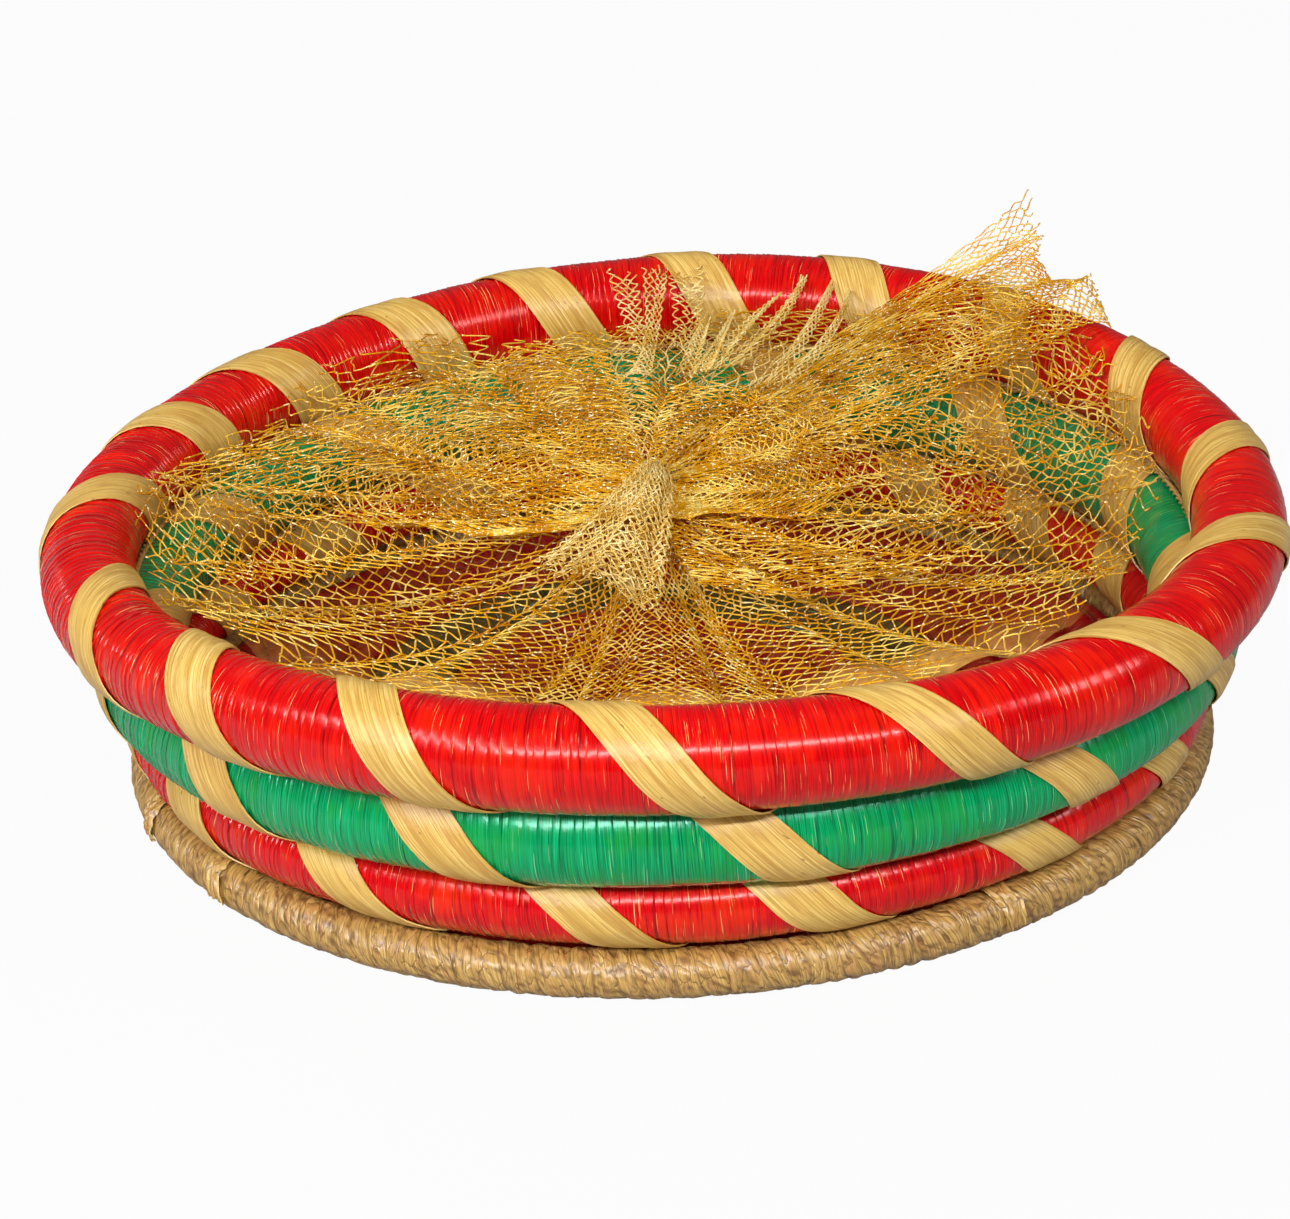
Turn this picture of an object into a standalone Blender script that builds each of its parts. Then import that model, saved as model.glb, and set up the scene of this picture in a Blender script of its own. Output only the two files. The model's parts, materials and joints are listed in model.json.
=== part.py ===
# Round basket: three fat wrapped coils on a thin foot coil, a coiled floor and a gold net over the mouth.
# Azimuths are counted from the front, -Y, towards +X. Angles round a tube start at its outermost line
# and reach a quarter turn at its top.
import math
from collections import namedtuple

import bmesh
import bpy
from mathutils import Vector

# Wall and foot coils: the rim ring's centre line, how far each coil stands out over the one below,
# and the tube's radius over the ribbon
RIM_RING_RADIUS = 0.1658
RIM_OVERHANG = 0.0128
MIDDLE_OVERHANG = 0.0035
FOOT_SPREAD = 0.0030
RIM_TUBE_RADIUS = 0.0142
MIDDLE_TUBE_RADIUS = 0.0132
LOWER_TUBE_RADIUS = 0.0100
FOOT_TUBE_RADIUS = 0.0066
FOOT_FLAT_DEPTH = 0.0005
COIL_GAP = 0.0005

# Wrapping of a coil: a bundle of straw, a winding of dyed strands and a flat palm ribbon
RIBBON_WIDTH = 0.0150
RIBBON_THICKNESS = 0.0005
RIBBON_SEAT = 0.0008
WINDING_THICKNESS = 0.0024
FOOT_WINDING_THICKNESS = 0.0018
CORE_CLEARANCE = 0.0003
WINDING_SEAM = 0.0006
RIBBON_END_GAP = 0.0010
RIM_TURNS = 17
MIDDLE_TURNS = 13
LOWER_TURNS = 17
RIM_RIBBON_PHASE = math.radians(0.8)
MIDDLE_RIBBON_PHASE = math.radians(9.5)
LOWER_RIBBON_PHASE = math.radians(-6.6)

# Floor: one flat spiral in three colours, from the inside of the foot coil to a small eye
FLOOR_CORD_RADIUS = 0.0059
FLOOR_TIP_RADIUS = 0.0010
FLOOR_TURN_GAP = 0.0010
FLOOR_EDGE_GAP = 0.0004
FLOOR_LIFT = 0.0021
FLOOR_JOIN_GAP = 0.0010
FLOOR_END_RUN = 0.0008
FLOOR_EYE_RADIUS = 0.0027
FLOOR_OUTER_SHARE = 0.41
FLOOR_MIDDLE_SHARE = 0.59

# Lashings that tie the foot coil to the wall, and the cords in the grooves between the wall coils
LASHING_WIDTH = 0.0080
LASHING_THICKNESS = 0.0009
LASHING_GAP = 0.0005
LASHING_AZIMUTHS = [math.radians(a) for a in (-70, -54, 34, 95, 150, 210)]
LASHING_START = math.radians(130)
LASHING_END = math.radians(-40)
SEWING_CORD_RADIUS = 0.0011
SEWING_GAP = 0.0002

# Net: radiating pleats from a gather in the middle, with one corner left standing on the far rim
NET_STRAND = 0.0010
NET_SEAT = 0.0009
NET_COLUMNS = 18
NET_GATHER_RADIUS = 0.0085
NET_GATHER_RISE = 0.0064
NET_SAG = 0.0050
NET_ROW_SHARES = (0, 0.14, 0.29, 0.44, 0.59, 0.73, 0.86, 0.93, 1)
NET_ZIGZAG_SHARE = 0.17
NET_EDGE_ANGLE = math.radians(100)
NET_EDGE_SWING = math.radians(58)
CORNER_AZIMUTH = math.radians(140)
CORNER_HEIGHT = 0.0300
CORNER_SPREAD = 0.0070
CORNER_ROW_SHARES = (0.12, 0.5, 1)

# Set of the hand-made stack: front and back stand higher than the sides
SETTLE_RISE = 0.0036
SETTLE_AZIMUTH = math.radians(-14)

# Facets
RING_STEPS = 40
WRAP_SIDES = 10
CORE_SIDES = 6
CORD_SIDES = 4
FLOOR_STEPS = 20
LASHING_STEPS = 8

MIDDLE_RING_RADIUS = RIM_RING_RADIUS - RIM_OVERHANG
LOWER_RING_RADIUS = MIDDLE_RING_RADIUS - MIDDLE_OVERHANG
FOOT_RING_RADIUS = LOWER_RING_RADIUS + FOOT_SPREAD
FOOT_GAP = LASHING_GAP + LASHING_THICKNESS + LASHING_GAP
Coil = namedtuple("Coil", "name ring tube height angles turns phase colour")


def stackedHeight(below, ring, tube, gap):
    """Height of a coil's centre line where its tube lies on the coil below."""
    belowRing, belowTube, belowHeight = below
    return belowHeight + math.sqrt((belowTube + tube + gap) ** 2 - (ring - belowRing) ** 2)


footHeight = FOOT_TUBE_RADIUS - FOOT_FLAT_DEPTH
lowerHeight = stackedHeight(
    (FOOT_RING_RADIUS, FOOT_TUBE_RADIUS, footHeight), LOWER_RING_RADIUS, LOWER_TUBE_RADIUS, FOOT_GAP
)
middleHeight = stackedHeight(
    (LOWER_RING_RADIUS, LOWER_TUBE_RADIUS, lowerHeight), MIDDLE_RING_RADIUS, MIDDLE_TUBE_RADIUS, COIL_GAP
)
rimHeight = stackedHeight(
    (MIDDLE_RING_RADIUS, MIDDLE_TUBE_RADIUS, middleHeight), RIM_RING_RADIUS, RIM_TUBE_RADIUS, COIL_GAP
)

RED = (0.62, 0.01, 0.01)
GREEN = (0.01, 0.24, 0.07)
STRAW = (0.66, 0.44, 0.14)
HUSK = (0.53, 0.36, 0.13)
BUNDLE = (0.45, 0.34, 0.17)
GOLD = (0.60, 0.36, 0.05)
MAROON = (0.30, 0.01, 0.02)


def wrapAngles(toAbove, toBelow):
    """Angles of the corners round a tube, with a corner against the coil above and the coil below."""
    half = WRAP_SIDES // 2
    outer = (toAbove - toBelow) / half
    inner = (math.tau - toAbove + toBelow) / half
    return [toBelow + i * outer for i in range(half)] + [toAbove + i * inner for i in range(half)]


def evenAngles(sides):
    return [math.tau * i / sides for i in range(sides)]


def flatAngles(sides, radius, depth):
    """The angles of a round tube whose underside is cut flat to a depth."""
    half = math.acos(1 - depth / radius)
    bottom = 3 * math.pi / 2
    kept = [a for a in evenAngles(sides) if abs(a - bottom) > half]
    return sorted(kept + [bottom - half, bottom + half])


rimToMiddle = math.atan2(middleHeight - rimHeight, MIDDLE_RING_RADIUS - RIM_RING_RADIUS)
middleToLower = math.atan2(lowerHeight - middleHeight, LOWER_RING_RADIUS - MIDDLE_RING_RADIUS)
lowerToFoot = math.atan2(footHeight - lowerHeight, FOOT_RING_RADIUS - LOWER_RING_RADIUS)

rim = Coil(
    "rim",
    RIM_RING_RADIUS,
    RIM_TUBE_RADIUS,
    rimHeight,
    wrapAngles(rimToMiddle + math.pi, rimToMiddle),
    RIM_TURNS,
    RIM_RIBBON_PHASE,
    RED,
)
middle = Coil(
    "middle",
    MIDDLE_RING_RADIUS,
    MIDDLE_TUBE_RADIUS,
    middleHeight,
    wrapAngles(rimToMiddle + math.pi, middleToLower),
    MIDDLE_TURNS,
    MIDDLE_RIBBON_PHASE,
    GREEN,
)
lower = Coil(
    "lower",
    LOWER_RING_RADIUS,
    LOWER_TUBE_RADIUS,
    lowerHeight,
    wrapAngles(middleToLower + math.pi, lowerToFoot),
    LOWER_TURNS,
    LOWER_RIBBON_PHASE,
    RED,
)
foot = Coil(
    "foot",
    FOOT_RING_RADIUS,
    FOOT_TUBE_RADIUS,
    footHeight,
    flatAngles(WRAP_SIDES, FOOT_TUBE_RADIUS, FOOT_FLAT_DEPTH),
    0,
    0,
    HUSK,
)

floorHeight = FLOOR_LIFT + FLOOR_CORD_RADIUS
settleStart = floorHeight + FLOOR_CORD_RADIUS
floorRadius = FOOT_RING_RADIUS - FOOT_TUBE_RADIUS - FLOOR_EDGE_GAP
floorTurn = 2 * FLOOR_CORD_RADIUS + FLOOR_TURN_GAP
floorTipTurn = 2 * FLOOR_TIP_RADIUS + FLOOR_TURN_GAP
floorTurns = 1 + (floorRadius - floorTipTurn - 2 * FLOOR_CORD_RADIUS - FLOOR_EYE_RADIUS) / floorTurn
gatherHeight = rimHeight + NET_GATHER_RISE
ribbonInner = RIBBON_THICKNESS + RIBBON_SEAT

for old in list(bpy.data.objects):
    bpy.data.objects.remove(old, do_unlink=True)
parts = bpy.data.collections.new("round_basket")
bpy.context.scene.collection.children.link(parts)


def polar(radius, azimuth, height):
    return Vector((radius * math.sin(azimuth), -radius * math.cos(azimuth), height))


def tubePoint(ring, height, azimuth, around, reach):
    """Point at a distance reach from a coil's centre line."""
    return polar(ring + reach * math.cos(around), azimuth, height + reach * math.sin(around))


def settled(point):
    """The same point in the settled stack, where the wall rises and falls twice in a round."""
    azimuth = math.atan2(point.x, -point.y)
    out = min(1, math.hypot(point.x, point.y) / RIM_RING_RADIUS) ** 2
    top = rimHeight + RIM_TUBE_RADIUS
    up = (min(max(point.z, settleStart), top) - settleStart) / (rimHeight - settleStart)
    rise = SETTLE_RISE * out * up * math.cos(2 * (azimuth - SETTLE_AZIMUTH))
    return Vector((point.x, point.y, point.z + rise))


def material(name, colour, roughness, metallic=0):
    made = bpy.data.materials.new(name)
    made.use_nodes = True
    shader = made.node_tree.nodes["Principled BSDF"]
    shader.inputs["Base Color"].default_value = (*colour, 1)
    shader.inputs["Roughness"].default_value = roughness
    shader.inputs["Metallic"].default_value = metallic
    return made


def addPart(name, bm, colour, roughness, metallic=0):
    """Makes one named object of a bmesh, in the settled stack."""
    for vert in bm.verts:
        vert.co = settled(vert.co)
    bmesh.ops.recalc_face_normals(bm, faces=bm.faces)
    mesh = bpy.data.meshes.new(name)
    bm.to_mesh(mesh)
    bm.free()
    mesh.shade_smooth()
    mesh.set_sharp_from_angle(angle=math.radians(50))
    mesh.materials.append(material(name, colour, roughness, metallic))
    made = bpy.data.objects.new(name, mesh)
    parts.objects.link(made)
    return made


def closedRing(name, ring, height, radius, sides, colour):
    """A plain cord bent into a ring."""
    bpy.ops.mesh.primitive_torus_add(
        major_segments=RING_STEPS,
        minor_segments=sides,
        major_radius=ring,
        minor_radius=radius,
        location=(0, 0, height),
    )
    torus = bpy.context.object
    bm = bmesh.new()
    bm.from_mesh(torus.data)
    bmesh.ops.translate(bm, verts=bm.verts, vec=torus.location)
    bpy.data.objects.remove(torus, do_unlink=True)
    addPart(name, bm, colour, 0.8)


def circleLoop(bm, coil, azimuth, angles, radius):
    """A closed loop of edges round a coil's centre line."""
    verts = [bm.verts.new(tubePoint(coil.ring, coil.height, azimuth, a, radius)) for a in angles]
    return [bm.edges.new(pair) for pair in zip(verts, verts[1:] + verts[:1])]


def addWinding(coil, radius, bore, roughness):
    """The sleeve of wound strands, a thick-walled tube that is open at the seam of its two ends."""
    bm = bmesh.new()
    half = WINDING_SEAM / coil.ring / 2
    outer = circleLoop(bm, coil, math.pi + half, coil.angles, radius)
    inner = circleLoop(bm, coil, math.pi + half, evenAngles(CORE_SIDES), bore)
    bmesh.ops.spin(
        bm,
        geom=outer + inner,
        axis=(0, 0, 1),
        angle=math.tau - 2 * half,
        steps=RING_STEPS,
    )
    ends = [edge for edge in bm.edges if edge.is_boundary]
    for side in (-1, 1):
        rims = [edge for edge in ends if side * edge.verts[0].co.x > 0]
        bmesh.ops.triangle_fill(bm, edges=rims, use_beauty=True)
    return addPart(coil.name + "_winding", bm, coil.colour, roughness)


def loft(bm, sections):
    """Skins a row of closed sections with as many points each, and closes both ends."""
    rows = [[bm.verts.new(point) for point in section] for section in sections]
    for near, far in zip(rows, rows[1:]):
        for k in range(len(near)):
            bm.faces.new((near[k - 1], near[k], far[k], far[k - 1]))
    bm.faces.new(rows[0][::-1])
    bm.faces.new(rows[-1])


def strip(coil, azimuth, around, halfWidth, low, high):
    """Section of a flat strip that lies on a coil, across the strip's width."""
    half = halfWidth / coil.ring
    corners = ((-half, low), (half, low), (half, high), (-half, high))
    return [tubePoint(coil.ring, coil.height, azimuth + a, around, reach) for a, reach in corners]


def leastGap(points, radii, perTurn):
    """The least air between a winding and its own turns before and after."""
    gap = math.inf
    for i, point in enumerate(points):
        for j in range(i + perTurn // 2, len(points)):
            gap = min(gap, (point - points[j]).length - radii[i] - radii[j])
    return round(gap, 5)


def addRibbon(coil):
    """The palm ribbon: one unbroken strip wound round the coil from end to end of the ring."""
    outer = coil.tube
    inner = outer - RIBBON_THICKNESS
    slope = math.atan2(math.tau * coil.ring / coil.turns, math.tau * outer)
    halfWidth = RIBBON_WIDTH / 2 / math.cos(slope)
    begin = (math.pi - coil.phase) * coil.turns
    end = begin + (math.tau - (2 * halfWidth + RIBBON_END_GAP) / coil.ring) * coil.turns
    perTurn = sorted(-a % math.tau for a in coil.angles)
    wound = [math.tau * turn + a for turn in range(2 * coil.turns) for a in perTurn]
    sections = []
    line = []
    for turned in wound:
        if begin <= turned <= end:
            azimuth = coil.phase + turned / coil.turns
            sections.append(strip(coil, azimuth, -turned, halfWidth, inner, outer))
            line.append(tubePoint(coil.ring, coil.height, azimuth, -turned, inner))
    print(coil.name, "ribbon, least gap to itself", leastGap(line, [halfWidth] * len(line), WRAP_SIDES))
    bm = bmesh.new()
    loft(bm, sections)
    addPart(coil.name + "_ribbon", bm, STRAW, 0.45)


def addWallCoil(coil):
    wrap = coil.tube - ribbonInner
    bore = wrap - WINDING_THICKNESS
    addWinding(coil, wrap, bore, 0.3)
    closedRing(coil.name + "_core", coil.ring, coil.height, bore - CORE_CLEARANCE, CORE_SIDES, BUNDLE)
    addRibbon(coil)


def addFootCoil():
    bore = foot.tube - FOOT_WINDING_THICKNESS
    addWinding(foot, foot.tube, bore, 0.6)
    closedRing("foot_core", foot.ring, foot.height, bore - CORE_CLEARANCE, CORE_SIDES, BUNDLE)
    low = foot.tube + LASHING_GAP
    turn = (LASHING_END - LASHING_START) / LASHING_STEPS
    high = low + LASHING_THICKNESS
    bends = [LASHING_START + i * turn for i in range(LASHING_STEPS + 1)]
    for number, azimuth in enumerate(LASHING_AZIMUTHS, 1):
        bm = bmesh.new()
        loft(bm, [strip(foot, azimuth, around, LASHING_WIDTH / 2, low, high) for around in bends])
        addPart(f"foot_lashing_{number}", bm, HUSK, 0.6)


def floorCord(turn):
    """The floor cord's radius: its first turn swells from a thin tip."""
    return FLOOR_TIP_RADIUS + (FLOOR_CORD_RADIUS - FLOOR_TIP_RADIUS) * min(1, turn)


def floorEdge(turn):
    """Radius of the cord's outer side, which leaves the foot coil and then follows the turn before."""
    if turn < 1:
        return floorRadius - floorTipTurn * turn
    return floorEdge(turn - 1) - 2 * floorCord(turn - 1) - FLOOR_TURN_GAP


def floorPoint(turn):
    return polar(floorEdge(turn) - floorCord(turn), math.tau * turn, floorHeight)


def addFloor():
    """The floor spiral, wound inwards, in an outer, a middle and a centre length."""
    lengths = (
        ("floor_coil_outer", 0, FLOOR_OUTER_SHARE, MAROON),
        ("floor_coil_middle", FLOOR_OUTER_SHARE, FLOOR_MIDDLE_SHARE, GREEN),
        ("floor_coil_centre", FLOOR_MIDDLE_SHARE, 1, MAROON),
    )
    for name, start, stop, colour in lengths:
        first = round(FLOOR_STEPS * floorTurns * start)
        last = round(FLOOR_STEPS * floorTurns * stop)
        turnings = [i / FLOOR_STEPS for i in range(first, last + 1)]
        turnings[0] += FLOOR_JOIN_GAP / math.tau / floorEdge(turnings[0])
        leave = turnings[0] + FLOOR_END_RUN / math.tau / floorEdge(turnings[0])
        arrive = turnings[-1] - FLOOR_END_RUN / math.tau / floorEdge(turnings[-1])
        turnings = [turnings[0], leave] + turnings[1:-1] + [arrive, turnings[-1]]
        points = [floorPoint(turn) for turn in turnings]
        radii = [floorCord(turn) for turn in turnings]
        print(name, "least gap to itself", leastGap(points, radii, FLOOR_STEPS))
        curve = bpy.data.curves.new(name, "CURVE")
        curve.dimensions = "3D"
        curve.bevel_depth = FLOOR_CORD_RADIUS
        curve.bevel_resolution = 1
        curve.use_fill_caps = True
        spline = curve.splines.new("POLY")
        spline.points.add(len(points) - 1)
        for point, place, radius in zip(spline.points, points, radii):
            point.co = (*place, 1)
            point.radius = radius / FLOOR_CORD_RADIUS
        curve.materials.append(material(name, colour, 0.5))
        parts.objects.link(bpy.data.objects.new(name, curve))


def addSewingCord(name, above, below):
    """The cord in the inner groove between two coils, against both of them."""
    first = above.tube + SEWING_GAP + SEWING_CORD_RADIUS
    second = below.tube + SEWING_GAP + SEWING_CORD_RADIUS
    across = Vector((below.ring - above.ring, below.height - above.height))
    apart = across.length
    along = (first**2 - second**2 + apart**2) / (2 * apart)
    out = math.sqrt(first**2 - along**2)
    unit = across / apart
    ring = above.ring + along * unit.x + out * unit.y
    height = above.height + along * unit.y - out * unit.x
    closedRing(name, ring, height, SEWING_CORD_RADIUS, CORD_SIDES, HUSK)


def netPlace(azimuth, share):
    """Point of the net's middle surface, at a share of the way from the gather to its edge."""
    reach = RIM_TUBE_RADIUS + NET_SEAT + NET_STRAND / 2
    end = NET_EDGE_ANGLE + NET_EDGE_SWING * math.cos(azimuth)
    span = RIM_RING_RADIUS - NET_GATHER_RADIUS
    drop = rimHeight - gatherHeight
    touch = math.pi - math.atan2(drop, span) - math.acos(reach / math.hypot(span, drop))
    leave = max(end, touch)
    edge = Vector((RIM_RING_RADIUS + reach * math.cos(leave), rimHeight + reach * math.sin(leave)))
    start = Vector((NET_GATHER_RADIUS, gatherHeight))
    straight = (edge - start).length
    arc = reach * (leave - end)
    gone = share * (straight + arc)
    if gone > straight:
        around = leave - (gone - straight) / reach
        return tubePoint(RIM_RING_RADIUS, rimHeight, azimuth, around, reach)
    part = gone / straight
    radius, height = start.lerp(edge, part)
    return polar(radius, azimuth, height - NET_SAG * math.sin(math.pi * part))


def addNet():
    """An open net of six-sided meshes, each row shifted by half a mesh, in radiating pleats."""
    bm = bmesh.new()
    half = math.pi / NET_COLUMNS
    rows = len(NET_ROW_SHARES) - 1
    rings = []
    for i, share in enumerate(NET_ROW_SHARES):
        ring = []
        for j in range(2 * NET_COLUMNS):
            azimuth = CORNER_AZIMUTH + j * half
            shifted = share
            if 0 < i < rows:
                outward = (i + j) % 2 == 0
                beside = NET_ROW_SHARES[i + 1] if outward else NET_ROW_SHARES[i - 1]
                shifted += NET_ZIGZAG_SHARE * (beside - share)
            place = netPlace(azimuth, shifted)
            lifted = i - rows + len(CORNER_ROW_SHARES) - 1
            if j == 0 and lifted >= 0:
                part = CORNER_ROW_SHARES[lifted]
                place += polar(CORNER_SPREAD * part, azimuth, CORNER_HEIGHT * part)
            ring.append(bm.verts.new(place))
        rings.append(ring)
    count = 2 * NET_COLUMNS
    for i in range(rows):
        for j in range(i % 2, count, 2):
            near = [rings[i][(j + k) % count] for k in range(3)]
            far = [rings[i + 1][(j + k) % count] for k in (2, 1, 0)]
            bm.faces.new(near + far)
    net = addPart("net", bm, GOLD, 0.35, 0.8)
    wires = net.modifiers.new("strands", "WIREFRAME")
    wires.thickness = NET_STRAND
    wires.use_even_offset = True
    wires.use_boundary = True
    wires.use_replace = True


for coil in (rim, middle, lower):
    addWallCoil(coil)
addFootCoil()
addFloor()
addSewingCord("sewing_cord_upper", rim, middle)
addSewingCord("sewing_cord_lower", middle, lower)
addNet()
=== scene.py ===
import json
import math

import bpy
import numpy as np
from mathutils import Matrix

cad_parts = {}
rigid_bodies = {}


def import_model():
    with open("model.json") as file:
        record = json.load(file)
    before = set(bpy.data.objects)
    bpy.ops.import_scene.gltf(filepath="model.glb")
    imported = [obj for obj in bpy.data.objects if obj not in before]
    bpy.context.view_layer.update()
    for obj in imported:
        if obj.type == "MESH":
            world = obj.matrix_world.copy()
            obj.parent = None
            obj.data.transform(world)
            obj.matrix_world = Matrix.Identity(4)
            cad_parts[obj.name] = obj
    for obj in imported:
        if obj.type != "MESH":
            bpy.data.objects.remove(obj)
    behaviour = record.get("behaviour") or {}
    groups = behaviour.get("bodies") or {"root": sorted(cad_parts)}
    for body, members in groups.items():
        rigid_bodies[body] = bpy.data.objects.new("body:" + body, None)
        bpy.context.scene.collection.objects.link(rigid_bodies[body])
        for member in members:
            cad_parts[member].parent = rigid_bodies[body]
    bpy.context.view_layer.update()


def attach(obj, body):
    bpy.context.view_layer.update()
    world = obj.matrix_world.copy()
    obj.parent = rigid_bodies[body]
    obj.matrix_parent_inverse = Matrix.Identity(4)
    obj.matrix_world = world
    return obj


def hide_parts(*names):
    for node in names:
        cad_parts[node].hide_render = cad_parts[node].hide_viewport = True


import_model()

tau = math.tau

# the stack as the CAD has it, in metres: rings and tubes of the coils, and how far they have settled
stack = {
    "rim": {"ring": 0.1658, "tube": 0.0142, "height": 0.07259},
    "middle": {"ring": 0.1530, "tube": 0.0132, "height": 0.04780},
    "lower": {"ring": 0.1495, "tube": 0.0100, "height": 0.02436},
    "foot": {"ring": 0.1525, "tube": 0.0066, "height": 0.00610},
    "settleRise": 0.0036,
    "settleAzimuth": math.radians(-14),
    "settleStart": 0.0139,
}


# small helpers

def seeded(seed):
    return np.random.default_rng(seed)


wanderLook = {"knots": 4096, "first": 7}


def wander(t, seed, period=1.0):
    # smooth random curve between -1 and 1 with one knot every period
    count = wanderLook["knots"]
    knots = seeded(seed).uniform(-1, 1, count)
    x = np.asarray(t) / period + wanderLook["first"]
    i = np.floor(x).astype(int)
    f = x - i
    f = f * f * (3 - 2 * f)
    return knots[i % count] * (1 - f) + knots[(i + 1) % count] * f


def waves(azimuth, around, seed, count=10, low=3, high=40):
    # smooth lumps over a coil that close up after a full round
    rng = seeded(seed)
    total = 0
    for _ in range(count):
        m = rng.integers(low, high)
        n = rng.integers(-2, 3)
        total = total + rng.uniform(0.3, 1) * np.cos(m * azimuth + n * around + rng.uniform(0, tau))
    return total / count ** 0.5


def settle(x, y, z):
    # the coils rise and fall twice in a round, most at the rim and not at all at the foot
    azimuth = np.arctan2(x, -y)
    rim = stack["rim"]
    out = np.minimum(1, np.hypot(x, y) / rim["ring"]) ** 2
    low = stack["settleStart"]
    up = (np.clip(z, low, rim["height"] + rim["tube"]) - low) / (rim["height"] - low)
    rise = stack["settleRise"] * out * up * np.cos(2 * (azimuth - stack["settleAzimuth"]))
    return np.stack([x, y, z + rise], -1)


def coilPoint(coil, azimuth, around, reach):
    # place on a coil: azimuth round the basket, around its own section, reach from its centre line
    rho = coil["ring"] + reach * np.cos(around)
    return settle(rho * np.sin(azimuth), -rho * np.cos(azimuth), coil["height"] + reach * np.sin(around))


bulgeLook = {"pressSpread": 0.32, "swellFocus": 3}


def pressed(around, presses):
    # how far strips bulge towards the neighbouring coils
    bulge = 0
    for angle, amount in presses:
        apart = np.angle(np.exp(1j * (around - math.radians(angle))))
        bulge = bulge + amount * np.exp(-(apart / bulgeLook["pressSpread"]) ** 2)
    return bulge


def swelled(around, look):
    # a coil that bellies out to one side under its own weight
    side, amount = look["swell"]
    return amount * np.exp(bulgeLook["swellFocus"] * (np.cos(around - math.radians(side)) - 1))


def deselectAll():
    for thing in bpy.context.selected_objects:
        thing.select_set(False)


def activate(obj):
    deselectAll()
    obj.select_set(True)
    bpy.context.view_layer.objects.active = obj


def addGrid(name, across, along):
    # a long flat grid: x runs across it from -0.5 to 0.5, y along it from 0 to 1
    deselectAll()
    bpy.ops.mesh.primitive_grid_add(x_subdivisions=across, y_subdivisions=along, size=1)
    grid = bpy.context.object
    grid.name = grid.data.name = name
    co = np.empty(len(grid.data.vertices) * 3)
    grid.data.vertices.foreach_get("co", co)
    co = co.reshape(-1, 3)
    return grid, co[:, 0], co[:, 1] + 0.5


def placeVerts(obj, points):
    obj.data.vertices.foreach_set("co", np.ascontiguousarray(points, dtype=np.float64).ravel())
    obj.data.update()


def setUv(obj, u, v):
    # writes the piece's own UV map, in metres
    mesh = obj.data
    layer = mesh.uv_layers.active or mesh.uv_layers.new()
    index = np.empty(len(mesh.loops), dtype=np.int32)
    mesh.loops.foreach_get("vertex_index", index)
    layer.data.foreach_set("uv", np.stack([u[index], v[index]], -1).astype(np.float32).ravel())


def setShade(obj, shade):
    # painted shade of each point, for the material
    layer = obj.data.attributes.new("shade", "FLOAT", "POINT")
    layer.data.foreach_set("value", np.ascontiguousarray(shade, dtype=np.float32))


def solidify(obj, thickness):
    activate(obj)
    bpy.ops.object.modifier_add(type="SOLIDIFY")
    wall = obj.modifiers[-1]
    wall.thickness = thickness
    wall.offset = -1
    bpy.ops.object.modifier_apply(modifier=wall.name)


def closeTube(obj):
    # joins the first and the last column of a grid, and closes both ends
    activate(obj)
    bpy.ops.object.mode_set(mode="EDIT")
    bpy.ops.mesh.select_all(action="SELECT")
    bpy.ops.mesh.remove_doubles(threshold=0.000001)
    bpy.ops.mesh.fill_holes(sides=16)
    bpy.ops.mesh.select_all(action="SELECT")
    bpy.ops.mesh.normals_make_consistent(inside=False)
    bpy.ops.object.mode_set(mode="OBJECT")


def finishPiece(obj, body, material, replaced=(), smooth=45):
    obj.data.materials.clear()
    obj.data.materials.append(material)
    activate(obj)
    if smooth:
        bpy.ops.object.shade_smooth_by_angle(angle=math.radians(smooth))
    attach(obj, body)
    if replaced:
        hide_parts(*replaced)
    print("made", obj.name, len(obj.data.polygons), "faces")
    return obj


# materials

def newMaterial(name, roughness=0.4, metallic=0.0):
    material = bpy.data.materials.new(name)
    material.use_nodes = True
    shader = material.node_tree.nodes["Principled BSDF"]
    shader.inputs["Roughness"].default_value = roughness
    shader.inputs["Metallic"].default_value = metallic
    return material, material.node_tree, shader


def srgb(r, g, b):
    def linear(c):
        c /= 255
        return c / 12.92 if c <= 0.04045 else ((c + 0.055) / 1.055) ** 2.4
    return (linear(r), linear(g), linear(b), 1)


def stretchedNoise(tree, source, scale, detail=2.0, roughness=0.5, kind="2D", shift=0.0):
    # noise on a stretched copy of the coordinates
    mapping = tree.nodes.new("ShaderNodeMapping")
    mapping.inputs["Scale"].default_value = scale
    mapping.inputs["Location"].default_value = (shift, shift, shift)
    tree.links.new(source, mapping.inputs["Vector"])
    texture = tree.nodes.new("ShaderNodeTexNoise")
    texture.noise_dimensions = kind
    texture.inputs["Scale"].default_value = 1
    texture.inputs["Detail"].default_value = detail
    texture.inputs["Roughness"].default_value = roughness
    tree.links.new(mapping.outputs["Vector"], texture.inputs["Vector"])
    return texture.outputs["Fac"]


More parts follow.
